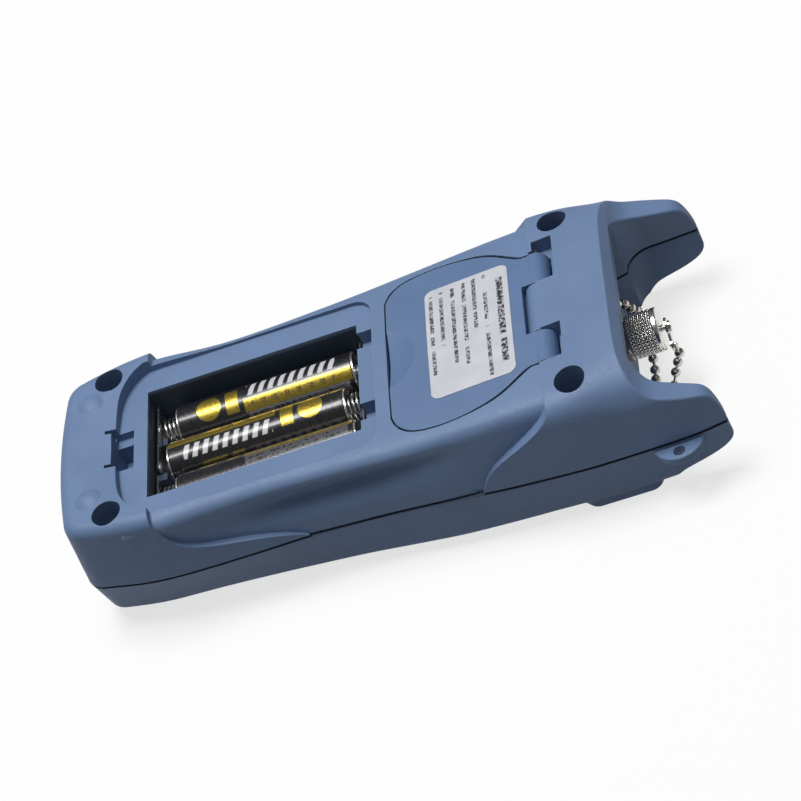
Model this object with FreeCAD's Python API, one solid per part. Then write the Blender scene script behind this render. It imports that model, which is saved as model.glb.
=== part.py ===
import FreeCAD, Part
import math
import os

# Optical power meter, lying on its face with its back up. Millimetres.
# X runs along the case from tail to head, Y across it, Z up from the table.
# Stations along X are measured from the tail edge of the battery opening, and every piece is
# moved back by MID_X at the end, so that the origin is under the middle of the case.

V = FreeCAD.Vector
os.makedirs("parts", exist_ok=True)

# Case: heights
FACE_Z = 2.5            # main face of the front shell, above the table
SEAM_Z = 14.5           # parting line
SEAM_GAP = 0.6          # height of the visible seam groove
WALL = 2.0              # moulding thickness
SEAT_Z = 30.5           # seat of the battery cover
WAIST_Z = 31.6          # edge of the back along the waist
STAND_Z = 33.5          # edge of the back at the stand's neck
TAIL_Z = 33.9           # tail plateau
HEAD_Z = 35.2           # head plateau
CROWN = 0.9             # rise of the back from its edges to its middle

# Case: plan
TAIL_X = -23.0          # tail end, on the centre line
TAIL_BOW = 1.8          # the tail end bows out by this much
TIP_X = 129.2           # tips of the horns
TAIL_CORNER = 5.5       # corner radius of the tail in plan
TAIL_EDGE = 2.8         # radius of the tail's upper edge
TAIL_LEAN = 2.3         # the tail end leans in by this much at its top
ARM_TIP_X = 33.5        # where the tail's arms run out on the seam
SHOULDER_X = 94.6       # head shoulder, on the back
SHOULDER_FOOT_X = 73.0  # head shoulder, on the seam
GROOVE = 3.4            # depth of the finger grooves, before smoothing
CAVITY_TOP = 26.6       # ceiling of the electronics space

# Recess between the horns
MOUTH_X = 113.0         # back wall, at its rim
MOUTH_RIM_Z = 32.5
MOUTH_LEAN = 0.0656     # run of the back wall per height
MOUTH_RIM_HALF = 24.2   # half widths by the back wall: at its rim, on the seam and on the table
MOUTH_SEAM_HALF = 29.3
MOUTH_FACE_HALF = 28.7
MOUTH_RIM_FLARE = 0.13  # gain of half width per length towards the tips
MOUTH_FLARE = 0.05
MOUTH_CORNER = 6.0
BEVEL_X = 111.3         # crease where the back turns down to the rim
RECESS_X = 108.0        # wall that the port stands in, set back under the rim
RECESS_TOP_Z = 29.4
RECESS_TOP_HALF = 22.4  # half widths under the rim: at the recess's top and at its foot
RECESS_FOOT_HALF = 26.4
RECESS_TAPER = 1.9      # the recess is this much narrower at its wall

# Battery bay
CELL_R = 5.25
CELL_LENGTH = 44.5
CELL_NUB = 1.0          # height of the positive nub
CELL_NUB_R = 1.9
CELL_PITCH = 11.0
CELL_Z = 21.7           # cell axis
BAY_HALF = 16.8
BAY_WALL = 1.4
BAY_FLOOR_Z = 16.35
SPRING_LENGTH = 4.2
SPRING_WIRE_R = 0.32
SPRING_TURNS = 3.5
SPRING_R = 3.2
CONTACT_T = 0.4
CONTACT_X = 0.6         # back of a contact plate from the bay's end wall
CELL_END_CLEAR = 0.9    # a cell's play along the bay
BAY_LENGTH = CELL_LENGTH + SPRING_LENGTH + 2 * (CONTACT_X + CONTACT_T) + CELL_END_CLEAR
CONTACT_HALF = 4.3
CONTACT_TOP_Z = 26.5
TAB_HALF = 0.8
RIB_LENGTH = 1.3
RIB_HALF = 1.0
RIB_TOP_Z = 24.5

# Cover seat
SEAT_NOSE_X = -7.1      # tail end of the seat
SEAT_HEAD_X = BAY_LENGTH + 4.2
SEAT_HALF = 23.3
SEAT_CORNER = 5.0
LATCH_X = -8.1
LATCH_LENGTH = 4.75
LATCH_HALF = 5.9
LATCH_DEPTH = 7.0
LATCH_SHELF_Y = 3.4     # a shelf fills the far end of the latch pocket
LATCH_SHELF_DROP = 2.0
LATCH_NOTCH = 1.5
HOOK_Y = 11.4
HOOK_HALF = 2.6
HOOK_DEPTH = 3.6

# Stand and hinge
STAND_T = 2.2
STAND_X = 59.5          # tail edge of the stand
STAND_GAP = 0.35
STAND_HALF = 24.6       # widest half width
STAND_NECK = 17.2
NECK_EASE = 1.1         # the recess is longer than the leaf here, for the leaf's swing
SCOOP_R = 11.1
SCOOP_DEPTH = 2.0
SCOOP_OUT = 4.6         # centre of the scoop, outside the leaf's tail edge
HINGE_X = 95.5
HINGE_R = 3.0
HINGE_DROP = 0.12       # barrels lie this far below the back
KNUCKLE_HALF = 7.4
BARREL_GAP = 0.3
PIN_R = 1.0
PIN_CLEAR = 0.05
PIN_HOLD = 0.01         # fit of the pin in the shell
PIN_SEAT = 1.0          # length of pin held in the shell at each end
POCKET_FAR = 20.6
POCKET_CLEAR = 0.5      # side clearance of a barrel in its pocket
POCKET_NEAR = STAND_NECK + POCKET_CLEAR
POCKET_HEAD_X = 100.3
LABEL_X0 = 69.1
LABEL_X1 = 89.2
LABEL_HALF = 17.3
LABEL_T = 0.15
LABEL_CORNER = 2.0

# Screws
TAIL_SCREW = (-8.4, 21.2)
HEAD_SCREW = (100.8, 25.6)
WELL_R = 3.5
WELL_FLOOR_Z = 20.0
BOSS_WALL = 1.4
SCREW_HEAD_R = 2.8
SCREW_HEAD_T = 2.0
SCREW_R = 1.45
SCREW_CLEAR = 0.25
PILOT_CLEAR = 0.03
SCREW_END_Z = 10.0
BUMP_X = -13.0
BUMP_Y = 15.4
BUMP_R = 3.0
BUMP_RISE = 0.9
DISH_X = 6.3            # shallow dish in the tail plateau
DISH_R = 23.1
DISH_DEPTH = 1.4
DISH_RUN = 6.0          # run of the dish's slope per depth
HORN_EDGE = 0.6
BOSS_R = 3.3            # bosses in the front shell
LATCH_WALL = 1.2
LIP_INSET = 0.9         # the front shell's lip stands this far in from the parting line
LIP_RISE = 0.8
LIP_CLEAR = 0.1
FACE_EDGE = 1.2

# Lanyard lug
LUG_X = 117.6
LUG_HALF = 6.0
LUG_REACH = 37.2
LUG_Z = 13.4
LUG_T = 2.0
LUG_HOLE_Y = 34.9
LUG_HOLE_R = 1.35

# Port, cap and chain
PORT_Z = 16.7
THREAD_R = 4.0
PORT_CLEAR = 0.1
FLANGE_R = 6.5
FLANGE_T = 2.4
CAN_LENGTH = 4.0
FERRULE_R = 1.27
CAP_R = 5.0
CAP_LENGTH = 7.4
CAP_MOUTH = 2.25        # plain mouth of the cap, ahead of its thread
CAP_RIM = 1.2
CAP_END_X = 118.3
CAP_CLEAR = 0.06
CAP_FLOOR = 0.9
RIDGES = 36
RIDGE_DEPTH = 0.25
NUT_R = 5.1
NUT_FLAT = 4.7
NUT_T = 2.4
RIVET_R = 0.7
TAB_X = CAP_END_X + 1.0
TAB_T = 0.6
EYE_Y = -3.0
EYE_Z = 13.8
ANCHOR_X = RECESS_X + 0.1
ANCHOR_Y = -3.5
ANCHOR_Z = 26.5
ANCHOR_R = 0.7
BEAD_R = 1.15
BEAD_PITCH = 3.15
LINK_R = 0.35
THREAD_CLEAR = 0.05

# Front face
BEZEL_X0 = 47.0
BEZEL_X1 = 110.5
BEZEL_HALF = 25.0
BEZEL_HEAD_HALF = 31.3
WINDOW_X0 = 58.0
WINDOW_X1 = 100.0
WINDOW_HALF = 21.0
WINDOW_T = 1.2
PAD_X0 = -20.0
PAD_X1 = 0.0
KEY_PITCH_X = 14.5
KEY_PITCH_Y = 18.0
KEY_X = 10.0
KEY_LENGTH = 9.0
KEY_WIDTH = 13.0
KEY_RISE = 1.3
KEY_CLEAR = 0.25
KEY_TRAVEL = 0.5
KEY_FLANGE = 1.0
KEY_CORNER = 3.0
PLATE_T = 0.3
PLATE_X0 = 2.5
PLATE_X1 = 45.5
PLATE_HALF = 18.5
WINDOW_SINK = 0.3
WINDOW_FIT = 0.1
LCD_T = 3.2
KEYS = [("key_power", KEY_X, KEY_PITCH_Y / 2),
        ("key_light", KEY_X + KEY_PITCH_X, KEY_PITCH_Y / 2),
        ("key_wave", KEY_X + 2 * KEY_PITCH_X, KEY_PITCH_Y / 2),
        ("key_save", KEY_X, -KEY_PITCH_Y / 2),
        ("key_source", KEY_X + KEY_PITCH_X, -KEY_PITCH_Y / 2),
        ("key_level", KEY_X + 2 * KEY_PITCH_X, -KEY_PITCH_Y / 2)]

# Board
BOARD_Z = 9.4
BOARD_T = 1.6
BOARD_INSET = 3.2
BOARD_SPOTS = [(-6.0, 12.0), (51.5, 20.0)]
BOARD_SCREW_R = 1.1
POST_R = 2.6
CHIP_X = 72.0
SWITCH_SIZE = 6.0
SWITCH_T = 2.2
SWITCH_PLUNGER = 0.4

MID_X = (TAIL_X + TIP_X) / 2


def save(name, shape):
    """Move a piece to the origin under the middle of the case and write it."""
    moved = shape.copy()
    moved.translate(V(-MID_X, 0, 0))
    moved.exportStep("parts/" + name + ".step")


def block(x0, x1, y0, y1, z0, z1):
    return Part.makeBox(x1 - x0, y1 - y0, z1 - z0, V(x0, y0, z0))


def rod_z(x, y, z0, z1, radius):
    return Part.makeCylinder(radius, z1 - z0, V(x, y, z0), V(0, 0, 1))


def rod_x(x0, x1, y, z, radius):
    return Part.makeCylinder(radius, x1 - x0, V(x0, y, z), V(1, 0, 0))


def rod_y(x, y0, y1, z, radius):
    return Part.makeCylinder(radius, y1 - y0, V(x, y0, z), V(0, 1, 0))


def mirrored(shape):
    return shape.mirror(V(0, 0, 0), V(0, 1, 0))


def slope(stations, i):
    """Slope of a smooth line through (x, value) stations at one of them, without overshoot."""
    if i == 0 or i == len(stations) - 1:
        (x0, v0), (x1, v1) = stations[:2] if i == 0 else stations[-2:]
        return (v1 - v0) / (x1 - x0)
    (x0, v0), (x1, v1), (x2, v2) = stations[i - 1:i + 2]
    before = (v1 - v0) / (x1 - x0)
    after = (v2 - v1) / (x2 - x1)
    if before * after <= 0:
        return 0.0
    return 2 * before * after / (before + after)


def along(x, stations):
    """Smooth value at x through (x, value) stations."""
    if x <= stations[0][0]:
        return stations[0][1]
    for i, ((x0, v0), (x1, v1)) in enumerate(zip(stations, stations[1:])):
        if x <= x1:
            run = x1 - x0
            t = (x - x0) / run
            k0 = slope(stations, i) * run
            k1 = slope(stations, i + 1) * run
            rise = v1 - v0
            return v0 + k0 * t + (3 * rise - 2 * k0 - k1) * t * t + (k0 + k1 - 2 * rise) * t ** 3
    return stations[-1][1]


def steps(x0, x1, size):
    """Even stations from x0 to x1, about size apart."""
    count = max(2, int(round((x1 - x0) / size)))
    return [x0 + (x1 - x0) * i / count for i in range(count + 1)]


def curve(points):
    """Smooth curve whose parameters depend only on the number of points."""
    line = Part.BSplineCurve()
    line.interpolate(Points=points, Parameters=[float(i) for i in range(len(points))])
    return line.toShape()


def slab(wire, z0, z1):
    """Upright prism on a flat wire drawn at height 0."""
    face = Part.Face(wire)
    face.translate(V(0, 0, z0))
    return face.extrude(V(0, 0, z1 - z0))


def rounded_plate(x0, x1, half, z0, z1, radius):
    plate = block(x0, x1, -half, half, z0, z1)
    upright = [e for e in plate.Edges if abs(e.tangentAt(e.FirstParameter).z) > 0.9]
    return plate.makeFillet(radius, upright)


def outline(side, tail_x, z):
    """Closed plan outline: a curve each side, a bowed tail and a straight nose."""
    spots = steps(side[0][0], side[-1][0], 7)
    far = [V(x, along(x, side), z) for x in spots]
    near = [V(p.x, -p.y, z) for p in reversed(far)]
    nose = Part.LineSegment(far[-1], near[0]).toShape()
    tail = Part.Arc(near[-1], V(tail_x, 0, z), far[0]).toShape()
    return Part.Wire([curve(far), nose, curve(near), tail])


# Half widths of the case on the seam, and of the front shell on its face
SEAM_SIDE = [(TAIL_X + TAIL_BOW, 23.2), (-13, 25.2), (-6, 26.8), (6, 27.8), (20, 27.8), (33, 27.6),
             (43, 28.0), (54, 28.8), (66, 30.2), (78, 31.8), (90, 32.8), (100, 33.4), (112, 33.3),
             (121, 33.0), (TIP_X, 31.6)]
FACE_SIDE = [(TAIL_X + TAIL_BOW + 0.1, 19.2), (-13, 21.2), (-6, 22.3), (6, 23.0), (20, 24.2),
             (33, 25.6), (43, 26.8), (54, 28.5), (66, 30.1), (78, 30.8), (90, 31.3), (100, 31.8),
             (112, 31.6), (121, 30.8), (TIP_X, 29.6)]


def skinned(rows):
    """Solid under a smooth surface guided by rows of points, closed flat at the seam."""
    counts = [len(rows), len(rows[0])]
    mults = [[4] + [1] * (n - 4) + [4] for n in counts]
    knots = [[float(i) for i in range(n - 2)] for n in counts]
    surface = Part.BSplineSurface()
    surface.buildFromPolesMultsKnots(rows, mults[0], mults[1], knots[0], knots[1],
                                     False, False, 3, 3)
    top = surface.toShape()
    ends = [e for e in top.Edges if e.BoundBox.XLength < 0.01]
    feet = [e for e in top.Edges if e.BoundBox.XLength > 1]
    faces = [top]
    floor = list(feet)
    for row, end in zip((rows[0], rows[-1]), sorted(ends, key=lambda e: e.CenterOfMass.x)):
        line = Part.LineSegment(row[0], row[-1]).toShape()
        floor.append(line)
        faces.append(Part.Face(Part.Wire([end, line])))
    faces.append(Part.Face(Part.Wire(Part.__sortEdges__(floor))))
    shell = Part.makeShell(faces)
    shell.sewShape()
    solid = Part.makeSolid(shell)
    if solid.Volume < 0:
        solid.reverse()
    return solid


def section(x, half_top, foot, edge_z, crown, groove, groove_z, corner):
    """Points of one cross-section of the back, from seam to seam over the top."""
    wall_top = edge_z - 2.9 * corner

    def wall(z):
        return half_top + (foot - half_top) * (wall_top - z) / (wall_top - SEAM_Z)

    crest_z = SEAM_Z + 0.6 * (groove_z - SEAM_Z)
    low_z = SEAM_Z + 0.5 * (crest_z - SEAM_Z)
    high_z = (groove_z + wall_top) / 2
    side = [(14.0, edge_z + 0.7 * crown),
            (half_top - 4.6 * corner, edge_z + 0.1 * crown),
            (half_top - 2.2 * corner, edge_z - 0.35 * corner),
            (half_top - 0.7 * corner, edge_z - 1.3 * corner),
            (half_top, wall_top),
            (wall(high_z) - 0.75 * groove, high_z),
            (wall(groove_z) - groove, groove_z),
            (wall(crest_z) + 0.05 * groove, crest_z),
            (wall(low_z), low_z),
            (foot, SEAM_Z)]
    over = [V(x, -y, z) for y, z in reversed(side)]
    over.append(V(x, 0, edge_z + crown))
    over += [V(x, y, z) for y, z in side]
    return over


def waist_body():
    """The long middle of the rear shell, with the finger grooves."""
    top = [(-6, 27.6), (3, 27.5), (8, 27.0), (14, 26.5), (20, 26.2), (28, 26.3), (38, 26.8),
           (50, 27.6), (60, 28.4), (70, 28.9), (82, 29.4), (104, 29.8)]
    seam = [(-6, 25.6), (10, 26.2), (20, 26.4), (28, 26.7), (35, 27.3), (43, 27.8), (54, 28.6),
            (66, 29.9), (76, 30.5), (104, 31.0)]
    edge = [(-6, WAIST_Z + 0.8), (5, WAIST_Z + 0.6), (20, WAIST_Z), (50, WAIST_Z),
            (HINGE_X, STAND_Z), (104, STAND_Z + 0.2)]
    depth = [(-6, 0.1 * GROOVE), (12, 0.12 * GROOVE), (20, 0.35 * GROOVE), (30, 0.9 * GROOVE),
             (38, GROOVE), (50, 0.95 * GROOVE), (60, 0.7 * GROOVE), (68, 0.25 * GROOVE), (74, 0.0),
             (104, 0.0)]
    centre = [(-6, 24.5), (30, 24.6), (42, 24.9), (55, 26.0), (66, 26.8), (104, 26.8)]
    return skinned([section(x, along(x, top), along(x, seam), along(x, edge), CROWN,
                            along(x, depth), along(x, centre), 1.0)
                    for x in steps(-6, 104, 5)])


def head_body():
    """The wider head with the two horns, from the shoulder to the tips."""
    top = [(70, 29.6), (80, 31.2), (88, 32.5), (95, 32.9), (100, 32.9), (108, 32.4), (112, 32.2),
           (118, 32.4), (124, 32.3), (TIP_X, 31.4), (TIP_X + 4, 30.4)]
    roll = [(70, 1.2), (90, 1.4), (95, 1.5), (100, 1.75), (107, 2.3), (112, 2.8), (TIP_X + 4, 2.8)]
    edge = [(70, 33.4), (SHOULDER_X, HEAD_Z - 0.8), (BEVEL_X - 4, HEAD_Z), (TIP_X + 4, HEAD_Z)]
    foot = SEAM_SIDE + [(TIP_X + 4, 30.8)]
    middle_z = SEAM_Z + 0.5 * (HEAD_Z - SEAM_Z)
    body = skinned([section(x, along(x, top), along(x, foot), along(x, edge), 0.15, 0.0,
                            middle_z, along(x, roll)) for x in steps(70, TIP_X + 4, 4)])
    body = body.common(side_cut(shoulder_curve(), TIP_X + 20, 0, HEAD_Z + 5))
    body = body.cut(mouth_cut(0, SEAM_Z - 2, HEAD_Z + 5))

    # The back turns down at a crease, and on into the tops and tips of the horns
    slope_down = [V(MOUTH_X, 0, MOUTH_RIM_Z), V(114.2, 0, 30.2), V(116, 0, 28.2), V(118.6, 0, 26.9),
                  V(122, 0, 25.7), V(125.4, 0, 24.6)]
    tip = [V(125.4, 0, 24.6), V(127.3, 0, 23.5), V(128.4, 0, 21.4), V(TIP_X, 0, 17.6),
           V(TIP_X - 0.1, 0, SEAM_Z - 1)]
    crease = V(BEVEL_X, 0, HEAD_Z + 0.1)
    above = V(BEVEL_X - 2.0, 0, HEAD_Z + 3.4)
    edges = [Part.LineSegment(above, crease).toShape(),
             Part.LineSegment(crease, slope_down[0]).toShape(), curve(slope_down), curve(tip)]
    corners = [tip[-1], V(TIP_X + 20, 0, tip[-1].z), V(TIP_X + 20, 0, above.z), above]
    edges += [Part.LineSegment(a, b).toShape() for a, b in zip(corners, corners[1:])]
    face = Part.Face(Part.Wire(edges))
    face.translate(V(0, -60, 0))
    body = body.cut(face.extrude(V(0, 120, 0)))
    rims = [e for e in body.Edges
            if e.CenterOfMass.x > MOUTH_X + 1 and e.CenterOfMass.z > 20
            and abs(e.CenterOfMass.y) > MOUTH_RIM_HALF + 1.4 and e.BoundBox.XLength > 1]
    return body.makeFillet(HORN_EDGE, rims)


def tail_body():
    """The raised tail with rounded corners and edges."""
    side = [p for p in SEAM_SIDE if p[0] < ARM_TIP_X] + [(ARM_TIP_X + 4, 27.7)]
    top_side = [(side[0][0] + TAIL_LEAN, side[0][1])] + side[1:]
    low = outline(side, TAIL_X, SEAM_Z)
    high = outline(top_side, TAIL_X + TAIL_LEAN, TAIL_Z)
    body = Part.makeLoft([low, high], True, True)
    upright = [e for e in body.Edges
               if e.CenterOfMass.x < TAIL_X + TAIL_BOW + 2 and abs(e.CenterOfMass.y) > 15
               and abs(e.tangentAt(e.FirstParameter).z) > 0.5]
    body = body.makeFillet(TAIL_CORNER, upright)
    rim = [e for e in body.Edges
           if abs(e.BoundBox.ZMin - TAIL_Z) < 0.01 and e.CenterOfMass.x < ARM_TIP_X + 3]
    body = body.makeFillet(TAIL_EDGE, rim)
    return body.common(side_cut(arm_curve(), -60, ARM_TIP_X + 1, TAIL_Z + 5))


def arm_curve():
    """Upper edge of the arms in side view, from the back down to the seam."""
    foot = ARM_TIP_X
    return [V(1.3, 0, TAIL_Z + 5), V(1.5, 0, TAIL_Z - 1), V(1.9, 0, 30.0), V(3.3, 0, 26.0),
            V(6.6, 0, 22.6), V(12, 0, 20.6), V(18, 0, 19.4), V(25, 0, 17.8),
            V(foot - 2.6, 0, SEAM_Z + 1.2), V(foot, 0, SEAM_Z - 0.6)]


def shoulder_curve():
    """Edge of the head shoulder in side view, from the back down to the seam."""
    return [V(SHOULDER_X, 0, HEAD_Z + 5), V(SHOULDER_X, 0, HEAD_Z - 1), V(93.6, 0, 31.4),
            V(89.6, 0, 28.0), V(83.2, 0, 24.0), V(78.2, 0, 20.8), V(75, 0, 17.4),
            V(SHOULDER_FOOT_X, 0, SEAM_Z - 0.6)]


def side_cut(points, end_x, foot_x, top_z):
    """Prism across the case, between a side-view curve and the station end_x."""
    low = points[-1].z
    edges = [curve(points),
             Part.LineSegment(points[-1], V(end_x, 0, low)).toShape(),
             Part.LineSegment(V(end_x, 0, low), V(end_x, 0, points[0].z)).toShape(),
             Part.LineSegment(V(end_x, 0, points[0].z), points[0]).toShape()]
    face = Part.Face(Part.Wire(edges))
    face.translate(V(0, -60, 0))
    return face.extrude(V(0, 120, 0))


def mouth_x(z):
    """Station of the wall between the horns at height z."""
    return MOUTH_X - MOUTH_LEAN * (MOUTH_RIM_Z - z)


def mouth_half(z, run):
    """Half width between the horns at height z, this far ahead of the back wall."""
    if z > SEAM_Z - 3:
        share = (z - SEAM_Z) / (MOUTH_RIM_Z - SEAM_Z)
        half = MOUTH_SEAM_HALF + share * (MOUTH_RIM_HALF - MOUTH_SEAM_HALF)
        return half + run * (MOUTH_FLARE + share * (MOUTH_RIM_FLARE - MOUTH_FLARE))
    share = (SEAM_Z - z) / SEAM_Z
    return MOUTH_SEAM_HALF + share * (MOUTH_FACE_HALF - MOUTH_SEAM_HALF) + run * MOUTH_FLARE


def mouth_cut(grow, z0, z1):
    """Space between the horns from z0 to z1, open to the front, grown by grow."""
    def wire(z):
        back = mouth_x(z) - grow
        end = TIP_X + 6
        half = mouth_half(z, 0) + grow
        wide = mouth_half(z, end - back) + grow
        corners = [V(back, -half, z), V(end, -wide, z), V(end, wide, z), V(back, half, z)]
        return Part.makePolygon(corners + corners[:1])
    cut = Part.makeLoft([wire(z0), wire(z1)], True, True)
    edges = [e for e in cut.Edges
             if e.CenterOfMass.x < MOUTH_X + 3 and abs(e.CenterOfMass.y) > MOUTH_RIM_HALF - 4
             and abs(e.tangentAt(e.FirstParameter).z) > 0.9]
    return cut.makeFillet(MOUTH_CORNER + grow, edges)


def recess_cut(grow):
    """Set-back space for the port and the chain under the rim, grown by grow."""
    def wire(z):
        share = (RECESS_TOP_Z - z) / (RECESS_TOP_Z + 6)
        half = RECESS_TOP_HALF + share * (RECESS_FOOT_HALF - RECESS_TOP_HALF) + grow
        corners = [V(RECESS_X - grow, RECESS_TAPER - half, z), V(MOUTH_X + 1, -half, z),
                   V(MOUTH_X + 1, half, z), V(RECESS_X - grow, half - RECESS_TAPER, z)]
        return Part.makePolygon(corners + corners[:1])
    return Part.makeLoft([wire(-6), wire(RECESS_TOP_Z + grow)], True, True)


def seat_cut():
    """Recess that the battery cover drops into."""
    nose = [(0.3, SEAT_HALF + 0.1), (-2.4, 21.3), (-5.2, 17.2), (SEAT_NOSE_X + 0.5, 11.0)]
    points = [V(x, y, 0) for x, y in nose] + [V(SEAT_NOSE_X, 0, 0)]
    points += [V(x, -y, 0) for x, y in reversed(nose)]
    end = SEAT_HEAD_X
    half = SEAT_HALF
    r = SEAT_CORNER
    turn = r * (1 - math.sqrt(0.5))
    edges = [curve(points),
             Part.LineSegment(points[-1], V(end - r, -half, 0)).toShape(),
             Part.Arc(V(end - r, -half, 0), V(end - turn, -half + turn, 0),
                      V(end, -half + r, 0)).toShape(),
             Part.LineSegment(V(end, -half + r, 0), V(end, half - r, 0)).toShape(),
             Part.Arc(V(end, half - r, 0), V(end - turn, half - turn, 0),
                      V(end - r, half, 0)).toShape(),
             Part.LineSegment(V(end - r, half, 0), points[0]).toShape()]
    return slab(Part.Wire(edges), SEAT_Z, HEAD_Z + 5)


def stand_wire(gap):
    """Plan of the stand's leaf, grown by gap."""
    x0 = STAND_X - gap
    wide = STAND_HALF + gap
    neck = STAND_NECK + gap
    turn = x0 + (NECK_EASE if gap else 0)
    end = HINGE_X + 0.2
    side = [(x0, 16.6 + gap), (x0 + 0.7, wide - 4.6), (x0 + 3.4, wide - 1.6), (x0 + 8.0, wide - 0.2),
            (x0 + 14.0, wide), (turn + 20.0, wide - 0.9), (turn + 25.5, wide - 2.8),
            (turn + 30.0, neck + 1.6), (turn + 33.3, neck)]
    far = [V(x, y, 0) for x, y in side]
    near = [V(x, -y, 0) for x, y in side]
    edges = [curve(far),
             Part.LineSegment(far[-1], V(end, neck, 0)).toShape(),
             Part.LineSegment(V(end, neck, 0), V(end, -neck, 0)).toShape(),
             Part.LineSegment(V(end, -neck, 0), near[-1]).toShape(),
             curve(list(reversed(near))),
             Part.LineSegment(near[0], far[0]).toShape()]
    return Part.Wire(edges)


def lowered(body, drop):
    low = body.copy()
    low.translate(V(0, 0, -drop))
    return low


waist = waist_body()
HINGE_Z = along(HINGE_X, [(50, WAIST_Z), (HINGE_X, STAND_Z)]) + CROWN - HINGE_R - HINGE_DROP


def hinge_cuts():
    """Pockets that the stand's barrels turn in."""
    room = HINGE_R + BARREL_GAP
    inner = KNUCKLE_HALF
    far = block(HINGE_X, POCKET_HEAD_X, inner, POCKET_FAR, HINGE_Z - 0.4, HEAD_Z + 5)
    near = block(HINGE_X, POCKET_HEAD_X, -POCKET_NEAR, -inner, HINGE_Z - 0.4, HEAD_Z + 5)
    under = [rod_y(HINGE_X, inner, POCKET_NEAR, HINGE_Z, room),
             rod_y(HINGE_X, -POCKET_NEAR, -inner, HINGE_Z, room)]
    above = [block(HINGE_X - room, HINGE_X, inner, POCKET_NEAR, HINGE_Z, HEAD_Z + 5),
             block(HINGE_X - room, HINGE_X, -POCKET_NEAR, -inner, HINGE_Z, HEAD_Z + 5)]
    cuts = far.fuse([near] + under + above)
    return cuts


def screw_spots():
    spots = []
    for x, y in (TAIL_SCREW, HEAD_SCREW):
        spots += [(x, y), (x, -y)]
    return spots


def cavity_wire(z, inset):
    """Plan of the electronics space, the same in both shells, drawn in by inset."""
    tail = TAIL_X + WALL + 1.6 + inset
    waist_half = 25.2 - inset
    head_half = 29.0 - inset
    front = RECESS_X - WALL - inset
    corners = [(tail, 13), (tail + 4, 18.2 - inset / 2), (-4, waist_half - 2), (20, waist_half),
               (54, waist_half + 1), (86, head_half), (front, head_half)]
    points = [V(x, y, z) for x, y in corners] + [V(x, -y, z) for x, y in reversed(corners)]
    return Part.makePolygon(points + points[:1])


def cavity(z0, z1, inset0, inset1):
    return Part.makeLoft([cavity_wire(z0, inset0), cavity_wire(z1, inset1)], True, True)


def seam_core(inset, z0, z1):
    """Everything inside the parting line by inset, between two heights."""
    side = [(x, y - inset) for x, y in SEAM_SIDE[:-1]] + [(TIP_X - inset, SEAM_SIDE[-1][1] - inset)]
    side[0] = (side[0][0] + inset, side[0][1])
    plan = outline(side, TAIL_X + inset, z0)
    core = Part.Face(plan).extrude(V(0, 0, z1 - z0))
    upright = [e for e in core.Edges
               if e.CenterOfMass.x < TAIL_X + TAIL_BOW + 3 and abs(e.CenterOfMass.y) > 15
               and abs(e.tangentAt(e.FirstParameter).z) > 0.5]
    core = core.makeFillet(TAIL_CORNER - inset, upright)
    return core.cut([mouth_cut(inset, SEAM_Z - 2, SEAM_Z + 5), recess_cut(inset)])


def bosses(radius, z0, z1):
    return [rod_z(x, y, z0, z1, radius) for x, y in screw_spots()]


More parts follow.
